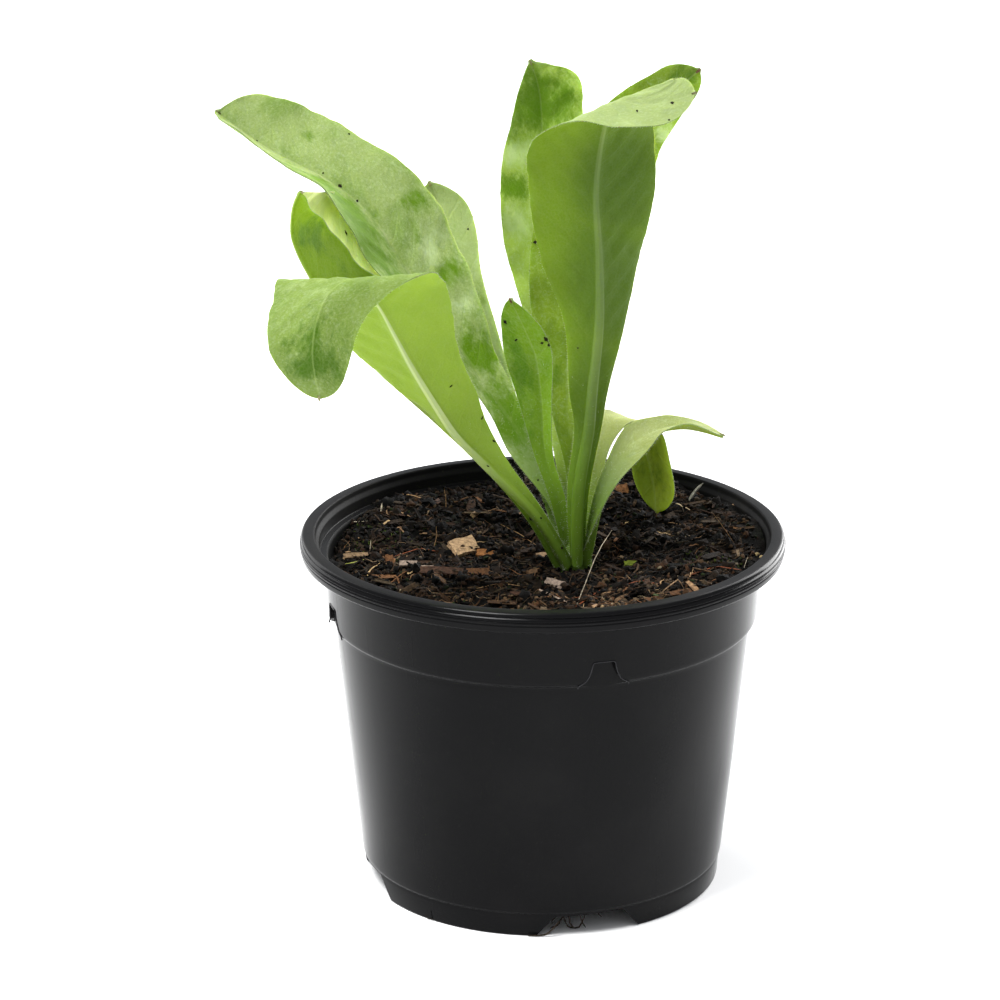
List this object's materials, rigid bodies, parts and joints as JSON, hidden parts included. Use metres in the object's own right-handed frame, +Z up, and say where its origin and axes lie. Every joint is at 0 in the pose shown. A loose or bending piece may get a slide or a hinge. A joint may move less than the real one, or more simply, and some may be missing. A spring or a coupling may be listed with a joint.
{
  "type": "potted marigold",
  "caption": "Young marigold plant before flowering, with long spoon-shaped leaves rising from one crown in a round black nursery pot filled with potting soil.",
  "frame": {"origin": "middle of the box around the whole plant and pot, at the height of the pot's foot", "axes": "+Z up, -Y towards the viewer of the picture, +X to the viewer's right; the pot's axis stands at x 9.9 mm, y 1.45 mm"},
  "size_m": [0.1406, 0.1238, 0.2136],
  "materials": {
    "black_plastic": "satin moulded plastic",
    "dark_soil": "rough fibrous potting soil",
    "pale_stalk": "downy stalk",
    "leaf_green": "soft leaf with a faint sheen"
  },
  "bodies": {
    "root": {"pot": "black_plastic", "potting_soil": "dark_soil", "crown": "pale_stalk", "leaf_far_left": "leaf_green", "leaf_front_left": "leaf_green", "leaf_back_left": "leaf_green", "leaf_inner_left": "leaf_green", "leaf_centre": "leaf_green", "leaf_back": "leaf_green", "leaf_front_right": "leaf_green", "leaf_back_right": "leaf_green", "leaf_low_front": "leaf_green", "leaf_low_back": "leaf_green"}
  },
  "joints": []
}
